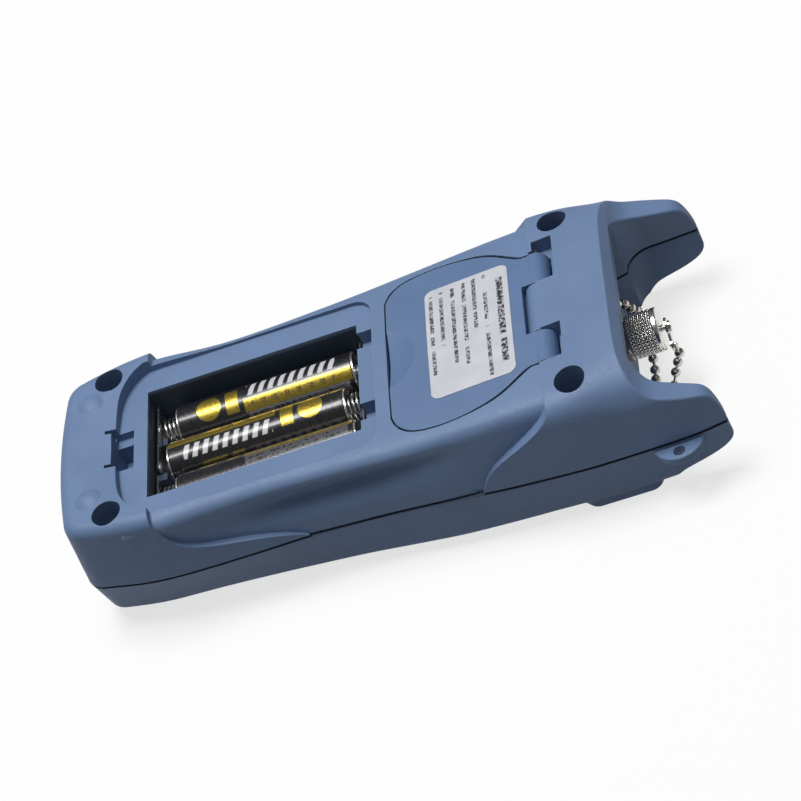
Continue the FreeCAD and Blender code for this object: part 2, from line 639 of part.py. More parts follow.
def rear_shell():
    body = waist.fuse([head_body(), tail_body()])

    # A shallow dish in the tail plateau, and two round bumps on it
    dish = Part.makeCone(DISH_R - DISH_RUN * DISH_DEPTH, DISH_R, DISH_DEPTH,
                         V(DISH_X, 0, TAIL_Z - DISH_DEPTH))
    above = block(-6, ARM_TIP_X, -DISH_R - 8, DISH_R + 8, TAIL_Z, TAIL_Z + 3)
    body = body.cut([dish, above])
    dome_r = (BUMP_R ** 2 + BUMP_RISE ** 2) / (2 * BUMP_RISE)
    domes = [Part.makeSphere(dome_r, V(BUMP_X, y, TAIL_Z + BUMP_RISE - dome_r))
             for y in (BUMP_Y, -BUMP_Y)]
    trim = block(BUMP_X - 6, BUMP_X + 6, -BUMP_Y - 6, BUMP_Y + 6, TAIL_Z - 1.2, TAIL_Z + 2)
    body = body.fuse([d.common(trim) for d in domes])

    # Seat, stand recess, hinge pockets and the space between the horns
    leaf_room = slab(stand_wire(STAND_GAP), CAVITY_TOP, HEAD_Z + 5)
    leaf_room = leaf_room.cut(lowered(waist, STAND_T + STAND_GAP))
    body = body.cut([seat_cut(), leaf_room, hinge_cuts()])
    knuckle = rod_y(HINGE_X, -KNUCKLE_HALF, KNUCKLE_HALF, HINGE_Z, HINGE_R)
    body = body.fuse(knuckle)

    # Cavity, leaving the battery bay's box, the latch pocket and the screw bosses
    hollow = cavity(SEAM_Z - 1, CAVITY_TOP, 0, GROOVE + 1)
    bay_box = block(-BAY_WALL, BAY_LENGTH + BAY_WALL, -BAY_HALF - BAY_WALL, BAY_HALF + BAY_WALL,
                    BAY_FLOOR_Z - BAY_WALL, HEAD_Z)
    latch_box = block(LATCH_X - LATCH_WALL, 0, -LATCH_HALF - LATCH_WALL, LATCH_HALF + LATCH_WALL,
                      SEAT_Z - LATCH_DEPTH - LATCH_WALL, HEAD_Z)
    hollow = hollow.cut([bay_box, latch_box] + bosses(WELL_R + BOSS_WALL, SEAM_Z - 1, HEAD_Z))
    rebate = seam_core(LIP_INSET - LIP_CLEAR, SEAM_Z - 1, SEAM_Z + LIP_RISE + LIP_CLEAR)
    body = body.cut([hollow, rebate])

    # Battery bay with two ribs at each end, latch pocket and hook slots
    bay = block(0, BAY_LENGTH, -BAY_HALF, BAY_HALF, BAY_FLOOR_Z, HEAD_Z)
    ribs = []
    for side in (1, -1):
        y = side * CELL_PITCH / 2
        x1 = CONTACT_X + CONTACT_T + RIB_LENGTH
        ribs.append(block(-0.5, x1, y - RIB_HALF, y + RIB_HALF, BAY_FLOOR_Z - 0.5, RIB_TOP_Z))
        x0 = BAY_LENGTH - x1
        ribs.append(block(x0, BAY_LENGTH + 0.5, y - RIB_HALF, y + RIB_HALF, BAY_FLOOR_Z - 0.5,
                          RIB_TOP_Z))
    bay = bay.cut(ribs)
    latch = block(LATCH_X, LATCH_X + LATCH_LENGTH, -LATCH_HALF, LATCH_HALF,
                  SEAT_Z - LATCH_DEPTH, HEAD_Z)
    latch = latch.cut(block(LATCH_X - 1, 0, LATCH_SHELF_Y, LATCH_HALF + 1, 0,
                            SEAT_Z - LATCH_SHELF_DROP))
    slots = []
    for side in (1, -1):
        y = side * (LATCH_HALF - 0.5)
        slots.append(block(LATCH_X - LATCH_NOTCH, LATCH_X + 1, y - 0.5, y + 0.5,
                           SEAT_Z - 1, HEAD_Z))
        y = side * HOOK_Y
        slots.append(block(BAY_LENGTH - 0.1, SEAT_HEAD_X + 0.2, y - HOOK_HALF, y + HOOK_HALF,
                           SEAT_Z - HOOK_DEPTH, SEAT_Z + 1))
    wells = bosses(WELL_R, WELL_FLOOR_Z, HEAD_Z + 5)
    wells += bosses(SCREW_R + SCREW_CLEAR, SEAM_Z - 1, WELL_FLOOR_Z + 1)
    slots += contact_slots()
    slots.append(rod_y(HINGE_X, -POCKET_NEAR - PIN_SEAT, POCKET_FAR + PIN_SEAT, HINGE_Z,
                       PIN_R + PIN_HOLD))
    body = body.cut([bay, latch, recess_cut(0)] + slots + wells + port_holes())
    seam = block(TAIL_X - 10, TIP_X + 10, -60, 60, -10, SEAM_Z + SEAM_GAP / 2)
    return body.cut(seam)


def port_holes():
    """Hole for the port with its flange's seat, and the chain screw's hole."""
    inner_x = RECESS_X - WALL
    return [rod_x(inner_x - 8, RECESS_X + 2, 0, PORT_Z, THREAD_R + PORT_CLEAR),
            rod_x(inner_x - 8, inner_x + 0.02, 0, PORT_Z, FLANGE_R + 0.2),
            rod_x(ANCHOR_X - 4.2, RECESS_X + 2, ANCHOR_Y, ANCHOR_Z, ANCHOR_R + PILOT_CLEAR)]


def front_shell():
    low = outline(FACE_SIDE, TAIL_X + 0.1, FACE_Z)
    high = outline(SEAM_SIDE, TAIL_X, SEAM_Z)
    body = Part.makeLoft([low, high], True, True)
    upright = [e for e in body.Edges
               if e.CenterOfMass.x < TAIL_X + TAIL_BOW + 3 and abs(e.CenterOfMass.y) > 15
               and abs(e.tangentAt(e.FirstParameter).z) > 0.5]
    body = body.makeFillet(TAIL_CORNER, upright)
    rim = [e for e in body.Edges
           if abs(e.BoundBox.ZMax - FACE_Z) < 0.01 and e.CenterOfMass.x < TIP_X - 1]
    body = body.makeFillet(FACE_EDGE, rim)

    # Proud bezel round the window, a proud pad at the tail, and the lug
    widen = BEZEL_X1 - 16
    plan = [(BEZEL_X0, BEZEL_HALF), (widen - 6, BEZEL_HALF), (widen, BEZEL_HEAD_HALF),
            (BEZEL_X1, BEZEL_HEAD_HALF)]
    points = [V(x, y, 0) for x, y in plan] + [V(x, -y, 0) for x, y in reversed(plan)]
    bezel = slab(Part.makePolygon(points + points[:1]), 0, FACE_Z + 2)
    plan = [(PAD_X0, 17.0), (PAD_X1, 20.0)]
    points = [V(x, y, 0) for x, y in plan] + [V(x, -y, 0) for x, y in reversed(plan)]
    pad = slab(Part.makePolygon(points + points[:1]), 0, FACE_Z + 2)
    raised = []
    for piece in (bezel, pad):
        upright = [e for e in piece.Edges if abs(e.tangentAt(e.FirstParameter).z) > 0.9]
        piece = piece.makeFillet(3.0, upright)
        foot = [e for e in piece.Edges if e.BoundBox.ZMax < 0.01]
        raised.append(piece.makeFillet(0.8, foot))
    lug = rod_z(LUG_X, LUG_HALF - LUG_REACH, LUG_Z - LUG_T, LUG_Z, LUG_HALF)
    lug = lug.makeFillet(0.4, [e for e in lug.Edges if isinstance(e.Curve, Part.Circle)])
    body = body.fuse(raised + [lug])

    # The horns rise from the face
    rise = [V(BEZEL_X1 - 1.0, 0, -4), V(BEZEL_X1, 0, 0.1), V(BEZEL_X1 + 2.5, 0, 2.1),
            V(BEZEL_X1 + 5.8, 0, 4.0), V(121.3, 0, 5.2), V(125.7, 0, 6.5), V(TIP_X - 0.7, 0, 8.4),
            V(TIP_X + 0.1, 0, 11.4)]
    low_z = rise[0].z
    edges = [curve(rise), Part.LineSegment(rise[-1], V(TIP_X + 8, 0, rise[-1].z)).toShape(),
             Part.LineSegment(V(TIP_X + 8, 0, rise[-1].z), V(TIP_X + 8, 0, low_z)).toShape(),
             Part.LineSegment(V(TIP_X + 8, 0, low_z), rise[0]).toShape()]
    face = Part.Face(Part.Wire(edges))
    face.translate(V(0, -60, 0))
    under_horns = face.extrude(V(0, 120, 0))
    outer = body.cut([under_horns, mouth_cut(0, -5, SEAM_Z), recess_cut(0)])

    # Cavity with screw bosses and board posts
    floor_z = FACE_Z + WALL
    hollow = cavity(floor_z, SEAM_Z + 3, 4.2, 0)
    posts = [rod_z(x, y, FACE_Z, BOARD_Z, POST_R) for x, y in board_spots()]
    keep = [b.common(outer) for b in bosses(BOSS_R, FACE_Z, SEAM_Z)]
    hollow = hollow.cut(keep + posts)
    tongue = seam_core(LIP_INSET, SEAM_Z - 1, SEAM_Z + LIP_RISE)
    tongue = tongue.cut(cavity(SEAM_Z - 2, SEAM_Z + 2, 0.6, 0.6).cut(bosses(BOSS_R, SEAM_Z - 3,
                                                                        SEAM_Z + 3)))
    top = block(TAIL_X - 10, TIP_X + 10, -60, 60, SEAM_Z - SEAM_GAP / 2, SEAM_Z + 20)
    body = outer.cut([hollow, top]).fuse(tongue)

    cuts = [lug_hole()]
    cuts += bosses(SCREW_R + PILOT_CLEAR, SCREW_END_Z - 0.5, SEAM_Z + 3)
    cuts += [rod_z(x, y, BOARD_Z - 4.0, BOARD_Z + 1, BOARD_SCREW_R + PILOT_CLEAR)
             for x, y in board_spots()]
    cuts.append(rounded_plate(WINDOW_X0 - WINDOW_FIT, WINDOW_X1 + WINDOW_FIT,
                              WINDOW_HALF + WINDOW_FIT, -1, WINDOW_SINK + WINDOW_T, 2.0))
    cuts.append(rounded_plate(WINDOW_X0 + 3, WINDOW_X1 - 3, WINDOW_HALF - 3, -1, floor_z + 1, 1.5))
    cuts.append(rounded_plate(PLATE_X0 - 0.1, PLATE_X1 + 0.1, PLATE_HALF + 0.1, FACE_Z - 1,
                              FACE_Z + PLATE_T, 3.0))
    for name, x, y in KEYS:
        cuts.append(key_prism(x, y, KEY_CLEAR, 0, floor_z + 1))
    return body.cut(cuts + port_holes())


def lug_hole():
    return rod_z(LUG_X, -LUG_HOLE_Y, LUG_Z - LUG_T - 1, LUG_Z + 0.6, LUG_HOLE_R)


def board_spots():
    spots = []
    for x, y in BOARD_SPOTS:
        spots += [(x, y), (x, -y)]
    return spots


def key_prism(x, y, grow, z0, z1):
    half_x = KEY_LENGTH / 2 + grow
    half_y = KEY_WIDTH / 2 + grow
    prism = block(x - half_x, x + half_x, y - half_y, y + half_y, z0, z1)
    upright = [e for e in prism.Edges if abs(e.tangentAt(e.FirstParameter).z) > 0.9]
    return prism.makeFillet(KEY_CORNER + grow, upright)


def key(x, y):
    """A key: its cap through the face, a flange inside, and a stem towards its switch."""
    cap = key_prism(x, y, 0, FACE_Z - KEY_RISE, FACE_Z + WALL + 0.5)
    crown = [e for e in cap.Edges if e.BoundBox.ZMax < FACE_Z - KEY_RISE + 0.01]
    cap = cap.makeFillet(0.6, crown)
    flange_z = FACE_Z + WALL + 0.05
    flange = key_prism(x, y, KEY_FLANGE, flange_z, flange_z + 1.0)
    stem_z = BOARD_Z - SWITCH_T - SWITCH_PLUNGER - KEY_TRAVEL - 0.1
    stem = rod_z(x, y, flange_z, stem_z, 1.6)
    return cap.fuse([flange, stem])


def lcd_parts():
    floor_z = FACE_Z + WALL
    window = rounded_plate(WINDOW_X0, WINDOW_X1, WINDOW_HALF, WINDOW_SINK, WINDOW_SINK + WINDOW_T,
                           2.0)
    module = block(WINDOW_X0 + 1, WINDOW_X1 - 1, 1 - WINDOW_HALF, WINDOW_HALF - 1, floor_z,
                   floor_z + LCD_T)
    strip = block(WINDOW_X0 + 3, WINDOW_X1 - 3, WINDOW_HALF - 4.5, WINDOW_HALF - 2,
                  floor_z + LCD_T, BOARD_Z)
    return window, module, Part.makeCompound([strip, mirrored(strip)])


def face_plate():
    plate = rounded_plate(PLATE_X0, PLATE_X1, PLATE_HALF, FACE_Z, FACE_Z + PLATE_T, 3.0)
    return plate.cut([key_prism(x, y, KEY_CLEAR, 0, SEAM_Z) for name, x, y in KEYS])


def board_parts():
    plan = cavity_wire(BOARD_Z, BOARD_INSET)
    board = Part.Face(plan).extrude(V(0, 0, BOARD_T))
    holes = bosses(BOSS_R + 0.3, 0, HEAD_Z)
    holes += [rod_z(x, y, 0, HEAD_Z, BOARD_SCREW_R + 0.15) for x, y in board_spots()]
    board = board.cut(holes)
    top = BOARD_Z + BOARD_T
    screws = []
    for x, y in board_spots():
        screw = rod_z(x, y, BOARD_Z - 3.5, top + 0.5, BOARD_SCREW_R)
        screws.append(screw.fuse(rod_z(x, y, top, top + 1.3, 2.0)))
    switches = []
    half = SWITCH_SIZE / 2
    for name, x, y in KEYS:
        body = block(x - half, x + half, y - half, y + half, BOARD_Z - SWITCH_T, BOARD_Z)
        button = rod_z(x, y, BOARD_Z - SWITCH_T - SWITCH_PLUNGER, BOARD_Z - 1, 1.6)
        switches.append(body.fuse(button))
    chip = block(CHIP_X - 5, CHIP_X + 5, -5, 5, top + 0.2, top + 1.6)
    pins = []
    for i in range(8):
        y = -4.2 + i * 1.2
        pins.append(block(CHIP_X - 6.2, CHIP_X + 6.2, y - 0.2, y + 0.2, top, top + 0.5))
    return board, Part.makeCompound(screws), Part.makeCompound(switches), chip.fuse(pins)


def case_screws():
    screws = []
    for x, y in screw_spots():
        shank = rod_z(x, y, SCREW_END_Z, WELL_FLOOR_Z + 0.5, SCREW_R)
        head = rod_z(x, y, WELL_FLOOR_Z, WELL_FLOOR_Z + SCREW_HEAD_T, SCREW_HEAD_R)
        head = head.makeFillet(0.7, [e for e in head.Edges
                                     if e.BoundBox.ZMin > WELL_FLOOR_Z + SCREW_HEAD_T - 0.01])
        top = WELL_FLOOR_Z + SCREW_HEAD_T
        cross = [block(x - 1.5, x + 1.5, y - 0.3, y + 0.3, top - 1.1, top + 1),
                 block(x - 0.3, x + 0.3, y - 1.5, y + 1.5, top - 1.1, top + 1)]
        screws.append(shank.fuse(head).cut(cross))
    return Part.makeCompound(screws)


def stand_parts():
    leaf = slab(stand_wire(0), CAVITY_TOP, HEAD_Z + 5)
    leaf = leaf.common(waist.cut(lowered(waist, STAND_T)))
    gap = KNUCKLE_HALF + BARREL_GAP
    leaf = leaf.cut(block(HINGE_X - HINGE_R - BARREL_GAP, HINGE_X + 9, -gap, gap, 0, HEAD_Z + 5))
    leaf = leaf.cut(block(HINGE_X + 0.1, HINGE_X + 9, -40, 40, 0, HEAD_Z + 5))
    barrel = rod_y(HINGE_X, gap, STAND_NECK, HINGE_Z, HINGE_R)
    leaf = leaf.fuse([barrel, mirrored(barrel)])
    scoop_r = (SCOOP_R ** 2 + SCOOP_DEPTH ** 2) / (2 * SCOOP_DEPTH)
    top_z = WAIST_Z + CROWN + 0.35
    scoop = Part.makeSphere(scoop_r, V(STAND_X - SCOOP_OUT, 0, top_z + scoop_r - SCOOP_DEPTH))
    bore = rod_y(HINGE_X, -STAND_NECK - 1, STAND_NECK + 1, HINGE_Z, PIN_R + PIN_CLEAR)
    leaf = leaf.cut([scoop, bore])
    pin = rod_y(HINGE_X, -POCKET_NEAR - PIN_SEAT, POCKET_FAR + PIN_SEAT, HINGE_Z, PIN_R)
    sheet = rounded_plate(LABEL_X0, LABEL_X1, LABEL_HALF, CAVITY_TOP, HEAD_Z + 5, LABEL_CORNER)
    label = sheet.common(lowered(waist, -LABEL_T)).cut(waist)
    return leaf, pin, label


def cell(x0, direction, y):
    """A sealed cell: a wrapped can with rolled ends and a nub. direction points to the nub."""
    can = CELL_LENGTH - CELL_NUB
    body = Part.makeCylinder(CELL_R - 0.35, can, V(0, 0, 0), V(1, 0, 0))
    wrap = Part.makeCylinder(CELL_R, can - 0.7, V(0.35, 0, 0), V(1, 0, 0))
    wrap = wrap.makeFillet(0.3, [e for e in wrap.Edges if isinstance(e.Curve, Part.Circle)])
    dent = Part.makeCylinder(CELL_R - 1.2, 0.3, V(0, 0, 0), V(1, 0, 0))
    top = Part.makeCylinder(CELL_R - 1.5, 0.3, V(can - 0.3, 0, 0), V(1, 0, 0))
    nub = Part.makeCylinder(CELL_NUB_R, CELL_NUB + 0.5, V(can - 0.5, 0, 0), V(1, 0, 0))
    solid = body.fuse(wrap).cut([dent, top]).fuse(nub)
    if direction < 0:
        solid.rotate(V(0, 0, 0), V(0, 0, 1), 180)
        x0 = x0 + CELL_LENGTH
    solid.translate(V(x0, y, CELL_Z))
    return solid


def spring(x0, direction, y):
    """Coil contact between a plate and the flat end of a cell."""
    run = SPRING_LENGTH - 2 * SPRING_WIRE_R - 0.04
    count = int(SPRING_TURNS * 12)
    points = []
    for i in range(count + 1):
        turn = 2 * math.pi * i / 12
        points.append(V(SPRING_R * math.cos(turn), SPRING_R * math.sin(turn), run * i / count))
    path = curve(points)
    ring = Part.Wire(Part.makeCircle(SPRING_WIRE_R, points[0], path.tangentAt(path.FirstParameter)))
    coil = Part.Wire(path).makePipeShell([ring], True, True)
    coil.rotate(V(0, 0, 0), V(0, 1, 0), 90)
    if direction < 0:
        coil.rotate(V(0, 0, 0), V(0, 0, 1), 180)
    coil.translate(V(x0 + direction * (SPRING_WIRE_R + 0.02), y, CELL_Z))
    return coil


def contact_plan():
    """Name, side and span across the bay of each contact plate, with its solder tab's place."""
    wide = CELL_PITCH + CONTACT_HALF
    return [("contact_tail_double", 0, -CONTACT_HALF, wide, CELL_PITCH),
            ("contact_tail_single", 0, -wide, -CELL_PITCH + CONTACT_HALF, -CELL_PITCH),
            ("contact_head_double", 1, -wide, CONTACT_HALF, -CELL_PITCH),
            ("contact_head_single", 1, CELL_PITCH - CONTACT_HALF, wide, CELL_PITCH)]


def contact_x(side):
    return BAY_LENGTH - CONTACT_X - CONTACT_T if side else CONTACT_X


def contact(side, y0, y1, tab_y):
    x = contact_x(side)
    plate = block(x, x + CONTACT_T, y0, y1, BAY_FLOOR_Z, CONTACT_TOP_Z)
    tab = block(x, x + CONTACT_T, tab_y - TAB_HALF, tab_y + TAB_HALF, BOARD_Z + BOARD_T,
                BAY_FLOOR_Z + 0.5)
    return plate.fuse(tab)


def contact_slots():
    slots = []
    for name, side, y0, y1, tab_y in contact_plan():
        x = contact_x(side)
        slots.append(block(x - 0.05, x + CONTACT_T + 0.05, tab_y - TAB_HALF - 0.1,
                           tab_y + TAB_HALF + 0.1, SEAM_Z - 2, BAY_FLOOR_Z + 0.5))
        slots.append(block(x - 0.05, x + CONTACT_T + 0.05, y0 - 0.1, y1 + 0.1, BAY_FLOOR_Z,
                           CONTACT_TOP_Z + 0.2))
    return slots


def port_parts():
    inner_x = RECESS_X - WALL
    nut_x = RECESS_X
    cap_x = CAP_END_X - CAP_LENGTH
    neck_end = CAP_END_X - CAP_FLOOR - 0.5
    body = rod_x(inner_x - FLANGE_T, inner_x, 0, PORT_Z, FLANGE_R)
    body = body.fuse(rod_x(inner_x - FLANGE_T, neck_end, 0, PORT_Z, THREAD_R))
    body = body.cut(rod_x(inner_x - FLANGE_T - 1, neck_end + 1, 0, PORT_Z, FERRULE_R))
    key_slot = block(neck_end - 2.2, neck_end + 1, -1.0, 1.0, PORT_Z + 3, PORT_Z + 5)
    body = body.cut(key_slot)
    nut = rod_x(nut_x, nut_x + NUT_T, 0, PORT_Z, NUT_R)
    flats = []
    for i in range(6):
        flat = block(nut_x - 1, nut_x + NUT_T + 1, -8, 8, PORT_Z + NUT_FLAT, PORT_Z + 20)
        flat.rotate(V(0, 0, PORT_Z), V(1, 0, 0), 60 * i)
        flats.append(flat)
    nut = nut.cut(flats + [rod_x(nut_x - 1, nut_x + NUT_T + 1, 0, PORT_Z, THREAD_R + PORT_CLEAR)])

    cap = rod_x(cap_x, CAP_END_X, 0, PORT_Z, CAP_R)
    cap = cap.makeFillet(0.4, [e for e in cap.Edges if isinstance(e.Curve, Part.Circle)])
    notches = []
    for i in range(RIDGES):
        notch = Part.makeBox(CAP_LENGTH - CAP_RIM - 0.6, 2 * RIDGE_DEPTH, 2 * RIDGE_DEPTH)
        notch.translate(V(cap_x + 0.6, -RIDGE_DEPTH, -RIDGE_DEPTH))
        notch.rotate(V(0, 0, 0), V(1, 0, 0), 45)
        notch.translate(V(0, 0, CAP_R + 0.1))
        notch.rotate(V(0, 0, 0), V(1, 0, 0), 360.0 / RIDGES * i)
        notch.translate(V(0, 0, PORT_Z))
        notches.append(notch)
    hollow = rod_x(cap_x - 1, CAP_END_X - CAP_FLOOR, 0, PORT_Z, THREAD_R + CAP_CLEAR)
    mouth = rod_x(cap_x - 1, cap_x + CAP_MOUTH, 0, PORT_Z, THREAD_R + 0.3)
    hole = rod_x(cap_x, CAP_END_X + 1, 0, PORT_Z, RIVET_R + THREAD_CLEAR)
    cap = cap.cut(notches + [hollow, mouth, hole])

    # Rivet through the cap's end, with a flat tab that the chain hangs on
    rivet = rod_x(CAP_END_X - CAP_FLOOR - 0.35, CAP_END_X + 2.2, 0, PORT_Z, RIVET_R)
    heads = [rod_x(CAP_END_X - CAP_FLOOR - 0.4, CAP_END_X - CAP_FLOOR - 0.05, 0, PORT_Z, 1.15),
             rod_x(TAB_X + TAB_T, TAB_X + TAB_T + 0.5, 0, PORT_Z, 1.25)]
    tab = rod_x(TAB_X, TAB_X + TAB_T, 0, PORT_Z, 2.1)
    eye = rod_x(TAB_X, TAB_X + TAB_T, EYE_Y, EYE_Z, 1.3)
    reach = math.hypot(EYE_Y, EYE_Z - PORT_Z)
    arm = block(TAB_X, TAB_X + TAB_T, -reach, 0, PORT_Z - 1.1, PORT_Z + 1.1)
    turn = math.degrees(math.atan2(PORT_Z - EYE_Z, -EYE_Y))
    arm.rotate(V(TAB_X, 0, PORT_Z), V(1, 0, 0), turn)
    tab = tab.fuse([eye, arm]).cut(rod_x(TAB_X - 1, TAB_X + 2, EYE_Y, EYE_Z, 0.65))
    swivel = rivet.fuse(heads + [tab])
    can = rod_x(inner_x - FLANGE_T - CAN_LENGTH, inner_x - FLANGE_T - 0.6, 0, PORT_Z, 4.1)
    can = can.fuse(rod_x(inner_x - FLANGE_T - 0.9, inner_x - FLANGE_T, 0, PORT_Z, 4.7))
    for y in (-1.6, 1.6):
        can = can.fuse(rod_x(inner_x - FLANGE_T - CAN_LENGTH - 3, inner_x - FLANGE_T - 2, y,
                             PORT_Z, 0.25))
    return body, nut, cap, swivel, can


# The chain, from the cap's tab down to the table, round and up to its screw
CHAIN = [(TAB_X + TAB_T + 0.4, EYE_Y, EYE_Z), (120.2, -2.8, 10.8), (118.5, -2.4, 7.0),
         (116.5, -2.6, 3.4), (115.5, -5.2, 1.4), (115.8, -8.2, 1.3), (115.6, -11.0, 1.3),
         (114.2, -13.0, 1.3),
         (112.6, -11.6, 1.3), (112.35, -8.6, 1.6), (112.3, -5.5, 2.8), (112.3, -2.4, 3.4),
         (112.35, 0.8, 3.2), (112.4, 4.0, 3.2), (112.5, 6.8, 4.6), (112.6, 9.0, 6.9),
         (112.8, 10.4, 9.8), (113.0, 10.8, 12.6), (113.0, 9.6, 15.0), (113.0, 8.0, 16.9),
         (112.7, 6.7, 18.9), (112.2, 5.7, 21.6), (111.0, 3.8, 24.4), (109.3, -0.2, 25.6)]


def bead_chain():
    """Beads at an even pitch along the route, joined by thin links."""
    spots = [V(*CHAIN[0])]
    walk = [V(*p) for p in CHAIN]
    here, i = walk[0], 1
    while i < len(walk):
        gap = walk[i].sub(here)
        if gap.Length < 1e-6 or (walk[i] - spots[-1]).Length < BEAD_PITCH:
            here = walk[i]
            i += 1
            continue
        low, high = 0.0, 1.0
        for step in range(30):
            mid = (low + high) / 2
            point = here + gap * mid
            if (point - spots[-1]).Length < BEAD_PITCH:
                low = mid
            else:
                high = mid
        spots.append(here + gap * high)
        here = spots[-1]
    beads = [Part.makeSphere(BEAD_R, p) for p in spots[1:]]
    links = [rod_x(TAB_X - 0.4, TAB_X + TAB_T + 0.5, EYE_Y, EYE_Z, LINK_R)]
    for a, b in zip(spots, spots[1:] + [V(ANCHOR_X + 0.2, ANCHOR_Y + 1.2, ANCHOR_Z - 1.55)]):
        links.append(Part.makeCylinder(LINK_R, (b - a).Length, a, b - a))
    ring = rod_x(ANCHOR_X, ANCHOR_X + 0.4, ANCHOR_Y, ANCHOR_Z, 2.1)
    ring = ring.cut(rod_x(ANCHOR_X - 1, ANCHOR_X + 1, ANCHOR_Y, ANCHOR_Z, ANCHOR_R + 0.1))
    return beads[0].fuse(beads[1:] + links + [ring]), len(beads)


def anchor_screw():
    screw = rod_x(ANCHOR_X - 3.9, ANCHOR_X + 0.8, ANCHOR_Y, ANCHOR_Z, ANCHOR_R)
    head = rod_x(ANCHOR_X + 0.4, ANCHOR_X + 1.2, ANCHOR_Y, ANCHOR_Z, 1.5)
    return screw.fuse(head)


NODES = {"rear_shell": rear_shell(), "front_shell": front_shell(), "case_screws": case_screws()}
NODES["lcd_window"], NODES["lcd_module"], NODES["lcd_strip"] = lcd_parts()
NODES["face_plate"] = face_plate()
for name, x, y in KEYS:
    NODES[name] = key(x, y)
board_names = ("circuit_board", "board_screws", "switch_group", "processor")
NODES.update(zip(board_names, board_parts()))
NODES.update(zip(("stand", "stand_pin", "label"), stand_parts()))
tail_cell_x = CONTACT_X + CONTACT_T + SPRING_LENGTH
head_cell_x = BAY_LENGTH - tail_cell_x - CELL_LENGTH
NODES["cell_far"] = cell(tail_cell_x, 1, CELL_PITCH)
NODES["cell_middle"] = cell(head_cell_x, -1, 0)
NODES["cell_near"] = cell(tail_cell_x, 1, -CELL_PITCH)
spring_x = CONTACT_X + CONTACT_T
NODES["spring_far"] = spring(spring_x, 1, CELL_PITCH)
NODES["spring_middle"] = spring(BAY_LENGTH - spring_x, -1, 0)
NODES["spring_near"] = spring(spring_x, 1, -CELL_PITCH)
for name, side, y0, y1, tab_y in contact_plan():
    NODES[name] = contact(side, y0, y1, tab_y)
port_names = ("port_adapter", "port_nut", "dust_cap", "cap_swivel", "detector_can")
NODES.update(zip(port_names, port_parts()))
NODES["bead_chain"], BEADS = bead_chain()
NODES["chain_screw"] = anchor_screw()
for name, shape in NODES.items():
    print(name, shape.isValid(), len(shape.Solids), round(shape.Volume, 1))
    save(name, shape)
print("beads", BEADS, "origin station", round(MID_X, 3), "hinge height", round(HINGE_Z, 3))
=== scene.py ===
import math

import bpy
from mathutils import Matrix, Vector


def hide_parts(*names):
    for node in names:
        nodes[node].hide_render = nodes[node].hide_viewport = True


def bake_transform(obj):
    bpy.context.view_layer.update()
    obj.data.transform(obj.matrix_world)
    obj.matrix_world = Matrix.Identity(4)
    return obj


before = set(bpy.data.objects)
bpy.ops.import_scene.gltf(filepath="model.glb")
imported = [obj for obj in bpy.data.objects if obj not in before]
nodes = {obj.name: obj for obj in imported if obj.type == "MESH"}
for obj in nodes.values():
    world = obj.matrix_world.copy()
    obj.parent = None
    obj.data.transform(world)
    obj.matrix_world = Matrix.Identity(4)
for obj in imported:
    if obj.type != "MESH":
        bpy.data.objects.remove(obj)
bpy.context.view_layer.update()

scene = bpy.context.scene
scene.view_settings.view_transform = "Standard"

# Camera: where the photograph was taken from, in metres, and its own axes
CAMERA_PLACE = (0.18458, -0.56242, 0.53623)
CAMERA_RIGHT = (0.92754, -0.04348, -0.37118)
CAMERA_UP = (0.29470, 0.69588, 0.65491)
CAMERA_BACK = (0.22982, -0.71684, 0.65827)

# Places on the part, in mm along the frame's axes
SEAM_Z = (14.1, 14.9)
BAY_X = (-53.4, -1.3)
BAY_Y = (-17.1, 17.1)
BAY_TOP_Z = 30.2
BAY_DARK_Z = 29.0
WINDOW_X = (7.9, 43.9)
WINDOW_Y = (-18.0, 18.0)
OVERLAY_X = -29.1
BORDER_HALF_X = 20.2
BORDER_HALF_Y = 17.2
BORDER_WIDTH = 0.4
PORT_Z = 16.7
KNURL_FLOOR = 4.4
KNURL_RIM = 4.6
NUT_X = (50.0, 66.0)
CAP_X = (58.3, 64.1)
CELL_Z = 21.7
CELL_PITCH = 11.0
TAIL_CELL_X = -47.9
HEAD_CELL_X = -6.7

# Rows of the label: (station, far end, near end, half height, weight)
LABEL_ROWS = [(34.0, 13.4, -13.3, 0.78, 1.0), (30.5, 16.1, -16.1, 0.46, 0.95),
              (27.9, 16.0, -0.3, 0.46, 0.95), (25.4, 15.9, -10.3, 0.46, 0.95),
              (22.7, 15.5, -8.7, 0.46, 0.95), (19.9, 15.5, -2.1, 0.46, 0.95),
              (17.4, 15.1, -10.2, 0.46, 0.95)]

# Marks on a cell's wrap: lengths from its flat end in mm, turns round it in degrees
CELL_ENDS = (0.36, 43.12)
END_SOFT = (0.06, 0.07)
DISC_U = 8.2
DISC_RADIUS = 3.0
DISC_TURN = 6.0
BAR_U = (12.4, 15.4)
BAR_HALF = 3.0
MM_PER_DEGREE = 0.0916
STEP_LENGTH = 2.45
STEPS_PER_DEGREE = 0.012
ROW_DEGREES = 13.5
STRIP_STEP_LENGTH = 2.9

SHELL = (0.142, 0.224, 0.390)
# Paler tone for small specks and for the painted highlight along edges
SHELL_LIGHT = (0.30, 0.43, 0.64)
STAND = (0.110, 0.186, 0.345)
GOLD = (0.50, 0.37, 0.055)
SILVER = (0.62, 0.62, 0.64)
BARE_METAL = (0.72, 0.70, 0.66)
INK = (0.012, 0.012, 0.014)
INK_LIGHT = (0.02, 0.02, 0.024)
MARK = (0.02, 0.02, 0.02)
DARK_GREY = (0.085, 0.085, 0.095)
MID_GREY = (0.14, 0.14, 0.155)
LABEL_PRINT = (0.03, 0.03, 0.035)

